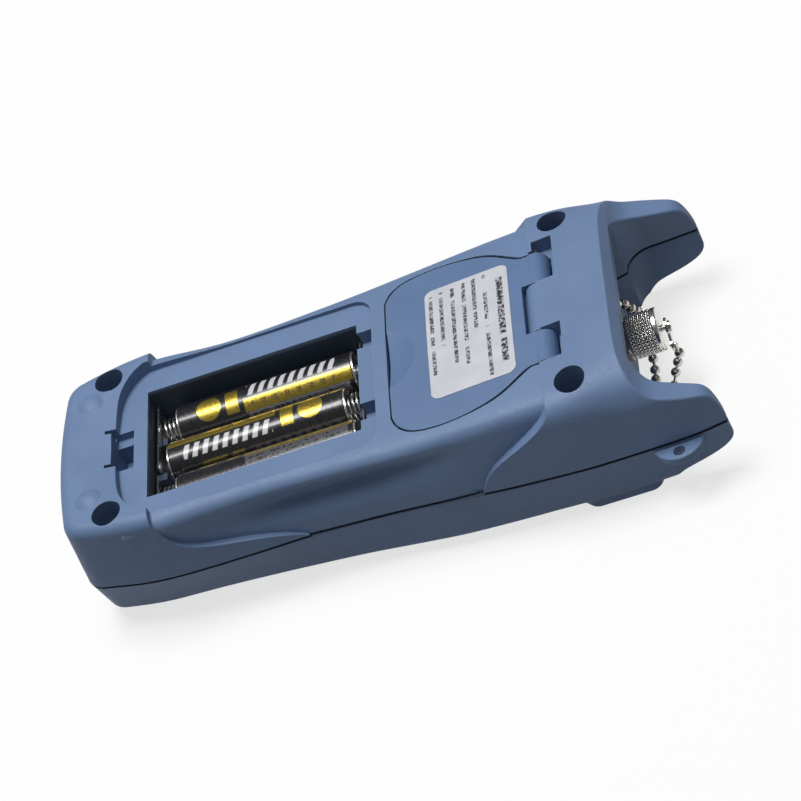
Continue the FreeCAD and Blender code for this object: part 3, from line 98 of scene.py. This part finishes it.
FLOOR_HALF = 8
FLOOR_Z = -0.0002
FLOOR_SHADE = (0.20, 0.20, 0.205)
FLOOR_WHITE = (0.95, 0.95, 0.95)
FLOOR_GLOW = 0.72
SKY = (0.93, 0.96, 1.0, 1)
SKY_STRENGTH = 0.12

camera_data = bpy.data.cameras.new("camera")
camera_data.lens = 157.3
camera_data.sensor_width = 36.0
camera_data.clip_end = 20.0
camera = bpy.data.objects.new("camera", camera_data)
camera_turn = Matrix((CAMERA_RIGHT, CAMERA_UP, CAMERA_BACK)).transposed().to_4x4()
camera.matrix_world = Matrix.Translation(CAMERA_PLACE) @ camera_turn
scene.collection.objects.link(camera)
scene.camera = camera


def shaded(colour, share):
    return tuple(channel * share for channel in colour)


class Nodes:
    """A material's node tree, with short ways to add the nodes used here. Lengths are in mm."""

    def __init__(self, name):
        self.material = bpy.data.materials.new(name)
        self.material.use_nodes = True
        self.tree = self.material.node_tree
        self.shader = self.tree.nodes["Principled BSDF"]
        self.place = None

    def put(self, value, socket):
        if isinstance(value, bpy.types.NodeSocket):
            self.tree.links.new(value, socket)
        else:
            socket.default_value = value

    def calc(self, operation, a, b=0.0, c=0.0):
        node = self.tree.nodes.new("ShaderNodeMath")
        node.operation = operation
        for value, socket in zip((a, b, c), node.inputs):
            self.put(value, socket)
        return node.outputs[0]

    def position(self):
        """Place on the object, in mm."""
        if self.place is None:
            where = self.tree.nodes.new("ShaderNodeTexCoord")
            scale = self.tree.nodes.new("ShaderNodeVectorMath")
            scale.operation = "SCALE"
            scale.inputs["Scale"].default_value = 1000.0
            self.tree.links.new(where.outputs["Object"], scale.inputs[0])
            self.place = scale.outputs[0]
        return self.place

    def axes(self):
        split = self.tree.nodes.new("ShaderNodeSeparateXYZ")
        self.tree.links.new(self.position(), split.inputs[0])
        return split.outputs

    def vector(self, x, y, z=0.0):
        join = self.tree.nodes.new("ShaderNodeCombineXYZ")
        for value, socket in zip((x, y, z), join.inputs):
            self.put(value, socket)
        return join.outputs[0]

    def ramp(self, value, low, high, start=0.0, end=1.0):
        node = self.tree.nodes.new("ShaderNodeMapRange")
        node.interpolation_type = "SMOOTHSTEP"
        for item, socket in zip((value, low, high, start, end), node.inputs):
            self.put(item, socket)
        return node.outputs[0]

    def between(self, value, low, high, soft=0.08):
        rise = self.ramp(value, low - soft, low + soft)
        fall = self.ramp(value, high - soft, high + soft, 1.0, 0.0)
        return self.both(rise, fall)

    def both(self, a, b):
        return self.calc("MULTIPLY", a, b)

    def either(self, a, b):
        return self.calc("MAXIMUM", a, b)

    def distance(self, a, b):
        """How far the point (a, b) is from zero."""
        squares = self.calc("ADD", self.calc("MULTIPLY", a, a), self.calc("MULTIPLY", b, b))
        return self.calc("SQRT", squares)

    def noise(self, scale, detail=2.0, where=None, rough=0.5):
        node = self.tree.nodes.new("ShaderNodeTexNoise")
        self.tree.links.new(where or self.position(), node.inputs["Vector"])
        node.inputs["Scale"].default_value = scale
        node.inputs["Detail"].default_value = detail
        node.inputs["Roughness"].default_value = rough
        return node.outputs[0]

    def patches(self, scale, detail, start=0.0, end=1.0, low=0.3, high=0.7):
        """Soft patches: start where the noise is low, end where it is high."""
        return self.ramp(self.noise(scale, detail), low, high, start, end)

    def mix(self, share, a, b):
        node = self.tree.nodes.new("ShaderNodeMix")
        node.data_type = "RGBA"
        self.put(share, node.inputs["Factor"])
        for value, name in ((a, "A_Color"), (b, "B_Color")):
            socket = next(s for s in node.inputs if s.identifier == name)
            self.put(value if isinstance(value, bpy.types.NodeSocket) else (*value, 1.0), socket)
        return next(s for s in node.outputs if s.identifier == "Result_Color")

    def bump(self, height, depth, strength, normal):
        node = self.tree.nodes.new("ShaderNodeBump")
        node.inputs["Strength"].default_value = strength
        node.inputs["Distance"].default_value = depth / 1000
        self.tree.links.new(height, node.inputs["Height"])
        self.tree.links.new(normal, node.inputs["Normal"])
        return node.outputs[0]

    def soft_edges(self, radius):
        node = self.tree.nodes.new("ShaderNodeBevel")
        node.samples = 4
        node.inputs["Radius"].default_value = radius / 1000
        return node.outputs[0]

    def hollow(self, reach):
        """0 deep inside pockets and corners, 1 on open faces."""
        node = self.tree.nodes.new("ShaderNodeAmbientOcclusion")
        node.samples = 2
        node.only_local = True
        node.inputs["Distance"].default_value = reach / 1000
        return node.outputs["AO"]

    def edge_mask(self, soft):
        """Nearly 1 along edges, where the softened surface turns away from the real one."""
        plain = self.tree.nodes.new("ShaderNodeNewGeometry")
        dot = self.tree.nodes.new("ShaderNodeVectorMath")
        dot.operation = "DOT_PRODUCT"
        self.tree.links.new(plain.outputs["Normal"], dot.inputs[0])
        self.tree.links.new(soft, dot.inputs[1])
        return self.ramp(self.calc("SUBTRACT", 1.0, dot.outputs["Value"]), 0.02, 0.25)

    def finish(self, colour, rough, metal=None, normal=None, **fixed):
        for value, name in ((colour, "Base Color"), (rough, "Roughness"), (metal, "Metallic"),
                            (normal, "Normal")):
            if value is not None:
                self.put(value, self.shader.inputs[name])
        for name, value in fixed.items():
            self.shader.inputs[name.replace("_", " ")].default_value = value
        return self.material


def case_shade(m):
    """Painted shade: a dark line at the case's seam, and the dark inside of the battery bay."""
    x, y, z = m.axes()
    # Painted shade in the seam gap between the shells, and inside the bay below its top
    seam = m.calc("MULTIPLY", m.between(z, *SEAM_Z), 0.8)
    inside = m.both(m.between(x, *BAY_X, 0.05), m.between(y, *BAY_Y, 0.05))
    return m.either(seam, m.both(inside, m.ramp(z, BAY_TOP_Z, BAY_DARK_Z, 0.0, 0.88)))


def moulded(name, base, light, grain=2.6, depth=0.035, rough=0.56, edge=0.3, shade=None):
    """Fine-textured moulded plastic: a painted highlight makes it paler along its edges, and painted
    shade makes it darker in pockets and where shade says.
    """
    m = Nodes(name)
    soft = m.soft_edges(edge)
    # Painted highlight: edges are mixed towards the light tone, in soft patches
    edge_highlight = m.both(m.edge_mask(soft), m.patches(0.35, 3.0, 0.45, 0.9, high=0.6))
    specks = m.calc("MULTIPLY", m.patches(4.5, 1.0, low=0.62, high=0.75), 0.16)
    colour = m.mix(m.patches(0.09, 3.0), shaded(base, 0.93), base)
    colour = m.mix(specks, colour, light)
    colour = m.mix(edge_highlight, colour, light)
    # Painted shade: darker in pockets and corners, and wherever shade paints more
    painted_shade = m.ramp(m.hollow(5.0), 0.1, 0.6, 0.35, 0.0)
    if shade is not None:
        painted_shade = m.either(painted_shade, shade(m))
    colour = m.mix(painted_shade, colour, shaded(base, 0.12))
    roughness = m.patches(1.4, 4.0, rough - 0.05, rough + 0.07)
    grainy = m.bump(m.noise(grain, 4.0, rough=0.6), depth, 0.8, soft)
    return m.finish(colour, roughness, normal=grainy)


def metal(name, colour, rough, edge=0.08):
    """Metal with soft patches in its tone and in its polish."""
    m = Nodes(name)
    tint = m.mix(m.patches(1.5, 4.0, low=0.35), shaded(colour, 0.85), colour)
    roughness = m.patches(4.5, 3.0, rough * 0.7, rough * 1.5)
    surface = m.bump(m.noise(9.0, 2.0), 0.01, 0.4, m.soft_edges(edge))
    return m.finish(tint, roughness, normal=surface, Metallic=1.0)


def knurled(name, colour, stations, teeth, pitch, depth):
    """Bright metal with a diamond knurl round the port's axis, between two stations, and painted shade
    in the knurl's grooves.
    """
    m = Nodes(name)
    x, y, z = m.axes()
    above = m.calc("SUBTRACT", z, PORT_Z)
    wind = m.calc("MULTIPLY", m.calc("ARCTAN2", y, above), teeth / 2)
    run = m.calc("MULTIPLY", x, math.pi / pitch)
    one = m.calc("ABSOLUTE", m.calc("SINE", m.calc("ADD", wind, run)))
    two = m.calc("ABSOLUTE", m.calc("SINE", m.calc("SUBTRACT", wind, run)))
    diamonds = m.both(one, two)
    outside = m.ramp(m.distance(y, above), KNURL_FLOOR, KNURL_RIM)
    band = m.both(m.between(x, *stations, 0.05), outside)
    # Painted shade: the knurl's grooves are darkened
    groove_shade = m.both(band, m.ramp(diamonds, 0.4, 0.05))
    tint = m.mix(m.calc("MULTIPLY", groove_shade, 0.75), colour, shaded(colour, 0.35))
    tint = m.mix(m.patches(2.0, 3.0, 0.0, 0.4, low=0.35), tint, shaded(colour, 0.7))
    roughness = m.patches(3.0, 3.0, 0.14, 0.3)
    surface = m.bump(m.both(diamonds, band), depth, 1.0, m.soft_edges(0.1))
    return m.finish(tint, roughness, normal=surface, Metallic=1.0)


def wrapped_cell(name, flat_x, direction, axis_y, turned):
    """Printed wrap of a cell: black, with gold, silver and grey fields and plain marks.

    u runs from the cell's flat end in mm, and w round the cell in degrees.
    """
    m = Nodes(name)
    x, y, z = m.axes()
    u = m.calc("MULTIPLY", m.calc("SUBTRACT", x, flat_x), direction)
    angle = m.calc("ARCTAN2", m.calc("SUBTRACT", y, axis_y), m.calc("SUBTRACT", z, CELL_Z))
    degrees = m.calc("MULTIPLY", angle, 180 / math.pi)
    w = m.calc("MULTIPLY", m.calc("SUBTRACT", degrees, turned), -direction)

    def field(start, end, low, high, soft=1.0):
        return m.both(m.between(u, start, end), m.between(w, low, high, soft))

    def part_of(value, low, high, soft):
        """1 in one part of each step of value, and 0 in the rest of it."""
        return m.between(m.calc("FRACT", value), low, high, soft)

    def blots(along, round_it, low, high):
        where = m.vector(m.calc("MULTIPLY", u, along), m.calc("MULTIPLY", w, round_it))
        return m.ramp(m.noise(1.0, 1.0, where), low, high)

    gold_strip = field(16.7, 42.9, 0, 34)
    pale_field = field(17.2, 41.9, 34, 60)
    dark_field = field(17.2, 41.9, 60, 92)
    slanted = m.calc("ADD", m.calc("DIVIDE", u, STEP_LENGTH), m.calc("MULTIPLY", w, STEPS_PER_DEGREE))
    bright_row = m.both(field(17.6, 39.4, -44, -7, 1.5), part_of(slanted, 0.22, 0.74, 0.05))

    # A plain gold disc and bar stand where the wrap has its large marks
    across = m.calc("MULTIPLY", m.calc("ADD", w, DISC_TURN), MM_PER_DEGREE)
    out = m.distance(m.calc("SUBTRACT", u, DISC_U), across)
    disc = m.ramp(out, DISC_RADIUS + 0.1, DISC_RADIUS - 0.1)
    bar = m.both(m.between(u, *BAR_U), m.between(across, -BAR_HALF, BAR_HALF))
    gold = m.either(gold_strip, m.either(disc, bar))

    # Small dark marks in rows on the grey fields, and in one row on the gold strip
    rows = part_of(m.calc("DIVIDE", m.calc("ADD", w, 4.0), ROW_DEGREES), 0.25, 0.8, 0.05)
    marks = m.both(m.both(blots(1.5, 0.08, 0.5, 0.56), rows), field(18.0, 40.5, 6, 88))
    steps = part_of(m.calc("DIVIDE", u, STRIP_STEP_LENGTH), 0.2, 0.62, 0.03)
    strip_marks = m.both(m.both(blots(3.2, 0.3, 0.42, 0.5), steps), field(18.5, 39.0, 10, 26))
    marks = m.either(m.both(marks, m.ramp(w, 33, 35)), strip_marks)

    flat_end, button_end = CELL_ENDS
    flat_soft, button_soft = END_SOFT
    ends = m.either(m.ramp(u, flat_end + flat_soft, flat_end),
                    m.ramp(u, button_end - button_soft, button_end))
    colour = m.mix(m.patches(0.8, 3.0, low=0.35), INK, INK_LIGHT)
    colour = m.mix(dark_field, colour, DARK_GREY)
    colour = m.mix(pale_field, colour, MID_GREY)
    colour = m.mix(bright_row, colour, SILVER)
    colour = m.mix(gold, colour, GOLD)
    colour = m.mix(m.calc("MULTIPLY", marks, 0.85), colour, MARK)
    colour = m.mix(ends, colour, BARE_METAL)

    foil = m.either(m.both(gold, m.calc("SUBTRACT", 1.0, marks)), ends)
    shine = m.calc("MULTIPLY_ADD", foil, 0.85, m.calc("MULTIPLY", pale_field, 0.35))
    roughness = m.calc("MULTIPLY_ADD", gold, 0.06, m.patches(1.5, 3.0, 0.2, 0.3))
    print_edge = m.either(gold, m.either(pale_field, dark_field))
    height = m.calc("MULTIPLY_ADD", m.noise(1.2, 2.0), 0.6, print_edge)
    return m.finish(colour, roughness, shine, m.bump(height, 0.02, 0.6, m.soft_edges(0.15)),
                    Coat_Weight=0.4, Coat_Roughness=0.12)


def printed_sheet(name, rows):
    """Satin label with rows of plain marks."""
    m = Nodes(name)
    x, y = m.axes()[:2]
    ink = 0.0
    for station, far, near, half, weight in rows:
        row = m.both(m.between(x, station - half, station + half), m.between(y, near, far, 0.1))
        pitch = 3.2 * half
        where = m.vector(m.calc("DIVIDE", y, pitch * 0.32), m.calc("DIVIDE", x, half * 1.1), station)
        marks = m.ramp(m.noise(1.0, 2.0, where), 0.42, 0.55)
        where = m.vector(m.calc("DIVIDE", y, pitch * 1.5), station)
        groups = m.ramp(m.noise(1.0, 0.0, where), 0.3, 0.34)
        row = m.both(row, m.both(m.calc("MULTIPLY_ADD", marks, 0.75, 0.25), groups))
        ink = m.either(ink, m.calc("MULTIPLY", row, weight))
    colour = m.mix(m.patches(0.2, 4.0), (0.56, 0.57, 0.62), (0.62, 0.63, 0.67))
    colour = m.mix(ink, colour, LABEL_PRINT)
    surface = m.bump(m.noise(2.2, 3.0), 0.008, 0.5, m.soft_edges(0.06))
    return m.finish(colour, m.patches(3.0, 3.0, 0.34, 0.46), normal=surface,
                    Coat_Weight=0.2, Coat_Roughness=0.3)


def board_look():
    """Green board with paler runs of copper under its lacquer."""
    m = Nodes("board_green")
    x, y = m.axes()[:2]
    rows = m.between(m.calc("FRACT", m.calc("DIVIDE", y, 1.9)), 0.4, 0.6, 0.03)
    where = m.vector(m.calc("MULTIPLY", x, 0.12), m.calc("MULTIPLY", y, 0.9))
    runs = m.both(rows, m.ramp(m.noise(1.0, 0.0, where), 0.48, 0.52))
    colour = m.mix(m.patches(0.3, 3.0), (0.012, 0.10, 0.04), (0.02, 0.14, 0.055))
    colour = m.mix(runs, colour, (0.05, 0.26, 0.11))
    surface = m.bump(runs, 0.03, 0.7, m.soft_edges(0.1))
    return m.finish(colour, m.patches(2.0, 2.0, 0.3, 0.42), normal=surface)


def window_look():
    """Window, clear over the display and dark round it."""
    m = Nodes("window_clear")
    x, y = m.axes()[:2]
    inside = m.both(m.between(x, *WINDOW_X, 0.1), m.between(y, *WINDOW_Y, 0.1))
    colour = m.mix(inside, (0.02, 0.022, 0.028), (0.20, 0.24, 0.23))
    m.put(m.ramp(inside, 0.0, 1.0, 1.0, 0.55), m.shader.inputs["Alpha"])
    surface = m.bump(m.noise(0.3, 2.0), 0.01, 0.3, m.soft_edges(0.1))
    return m.finish(colour, m.patches(0.6, 3.0, 0.05, 0.13), normal=surface)


def overlay_look():
    """Plain dark film round the keys, with a paler border line."""
    m = Nodes("overlay_film")
    x, y = m.axes()[:2]
    run = m.calc("ABSOLUTE", m.calc("SUBTRACT", x, OVERLAY_X))
    side = m.calc("ABSOLUTE", y)

    def within(grown):
        half_x = BORDER_HALF_X + grown
        half_y = BORDER_HALF_Y + grown
        return m.both(m.ramp(run, half_x + 0.1, half_x), m.ramp(side, half_y + 0.1, half_y))

    border = m.calc("SUBTRACT", within(BORDER_WIDTH), within(0.0))
    colour = m.mix(m.patches(0.3, 3.0), (0.022, 0.028, 0.045), (0.03, 0.037, 0.058))
    colour = m.mix(border, colour, (0.35, 0.38, 0.44))
    surface = m.bump(m.noise(4.0, 3.0), 0.01, 0.6, m.soft_edges(0.08))
    return m.finish(colour, m.patches(3.0, 3.0, 0.38, 0.5), normal=surface)


def paper_look():
    """Pale floor, white where the camera, a reflection or a clear pane sees it."""
    m = Nodes("floor_paper")
    m.tree.nodes.remove(m.shader)
    path = m.tree.nodes.new("ShaderNodeLightPath").outputs
    seen = m.either(m.either(path["Is Camera Ray"], path["Is Glossy Ray"]),
                    path["Is Transmission Ray"])
    matte = m.tree.nodes.new("ShaderNodeBsdfDiffuse")
    m.put(m.mix(seen, FLOOR_SHADE, FLOOR_WHITE), matte.inputs["Color"])
    glow = m.tree.nodes.new("ShaderNodeEmission")
    glow.inputs["Color"].default_value = (1, 1, 1, 1)
    blend = m.tree.nodes.new("ShaderNodeMixShader")
    parts = (m.calc("MULTIPLY", seen, FLOOR_GLOW), matte.outputs[0], glow.outputs[0])
    for value, socket in zip(parts, blend.inputs):
        m.put(value, socket)
    m.put(blend.outputs[0], m.tree.nodes["Material Output"].inputs["Surface"])
    return m.material


shell = moulded("shell_texture", SHELL, SHELL_LIGHT, edge=0.4, shade=case_shade)
stand_look = moulded("stand_texture", STAND, SHELL_LIGHT, edge=0.4)
steel = metal("screw_steel", (0.50, 0.50, 0.52), 0.34)
bright = metal("contact_bright", (0.83, 0.82, 0.80), 0.2)
plated = metal("plated_bright", (0.66, 0.64, 0.60), 0.17, edge=0.05)
can = metal("can_tin", (0.62, 0.58, 0.46), 0.36)
nut_look = knurled("knurl_fine", (0.36, 0.35, 0.33), NUT_X, teeth=90, pitch=30.0, depth=0.12)
cap_look = knurled("knurl_cap", (0.80, 0.78, 0.74), CAP_X, teeth=36, pitch=0.95, depth=0.15)
rubber = moulded("key_soft", (0.052, 0.06, 0.078), (0.12, 0.13, 0.16),
                 grain=3.5, depth=0.02, rough=0.66, edge=0.5)
pink = moulded("strip_soft", (0.30, 0.20, 0.20), (0.40, 0.30, 0.30),
               grain=2.0, depth=0.02, rough=0.6)
black = moulded("switch_black", (0.016, 0.016, 0.018), (0.06, 0.06, 0.065),
                grain=3.0, depth=0.015, rough=0.45)
display = moulded("display_grey", (0.19, 0.23, 0.17), (0.26, 0.30, 0.24),
                  grain=1.0, depth=0.004, rough=0.3)
looks = {
    "rear_shell": shell, "front_shell": shell, "stand": stand_look,
    "case_screws": steel, "board_screws": steel, "stand_pin": steel,
    "lcd_window": window_look(), "lcd_module": display, "lcd_strip": pink,
    "face_plate": overlay_look(), "circuit_board": board_look(), "switch_group": black,
    "processor": black, "label": printed_sheet("label_print", LABEL_ROWS),
    "cell_far": wrapped_cell("wrap_far", TAIL_CELL_X, 1, CELL_PITCH, -23.0),
    "cell_middle": wrapped_cell("wrap_middle", HEAD_CELL_X, -1, 0.0, 3.0),
    "cell_near": wrapped_cell("wrap_near", TAIL_CELL_X, 1, -CELL_PITCH, 48.0),
    "port_adapter": plated, "port_nut": nut_look, "dust_cap": cap_look,
    "cap_swivel": plated, "detector_can": can, "bead_chain": plated, "chain_screw": plated,
}
for name in nodes:
    if name.startswith("key_"):
        looks[name] = rubber
    if name.startswith(("contact_", "spring_")):
        looks[name] = bright
for name, node in nodes.items():
    node.data.materials.clear()
    node.data.materials.append(looks[name])

# The chain runs between its screw in the case and the cap's swivel; a copy of its mesh stands in for
# the imported one
chain = bpy.data.objects.new("chain_beads", nodes["bead_chain"].data.copy())
scene.collection.objects.link(chain)
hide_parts("bead_chain")
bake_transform(chain)

floor_mesh = bpy.data.meshes.new("floor")
corners = [(x * FLOOR_HALF, y * FLOOR_HALF, FLOOR_Z) for x, y in ((-1, -1), (1, -1), (1, 1), (-1, 1))]
floor_mesh.from_pydata(corners, [], [(0, 1, 2, 3)])
floor = bpy.data.objects.new("floor", floor_mesh)
scene.collection.objects.link(floor)
floor_mesh.materials.append(paper_look())

# Soft light from above, with a weak even surround and a faint fill from the near side
world = bpy.data.worlds.new("surround")
scene.world = world
world.use_nodes = True
sky = world.node_tree.nodes["Background"]
sky.inputs["Color"].default_value = SKY
sky.inputs["Strength"].default_value = SKY_STRENGTH


def lamp(name, place, size, power):
    """Square lamp that faces the part."""
    data = bpy.data.lights.new(name, "AREA")
    data.size = size
    data.energy = power
    item = bpy.data.objects.new(name, data)
    item.location = place
    item.rotation_euler = (-Vector(place)).to_track_quat("-Z", "Y").to_euler()
    scene.collection.objects.link(item)


lamp("over", place=(-0.12, 0.08, 1.3), size=0.6, power=16.2)
lamp("fill", place=(0.5, -1.1, 0.7), size=0.8, power=0.4)
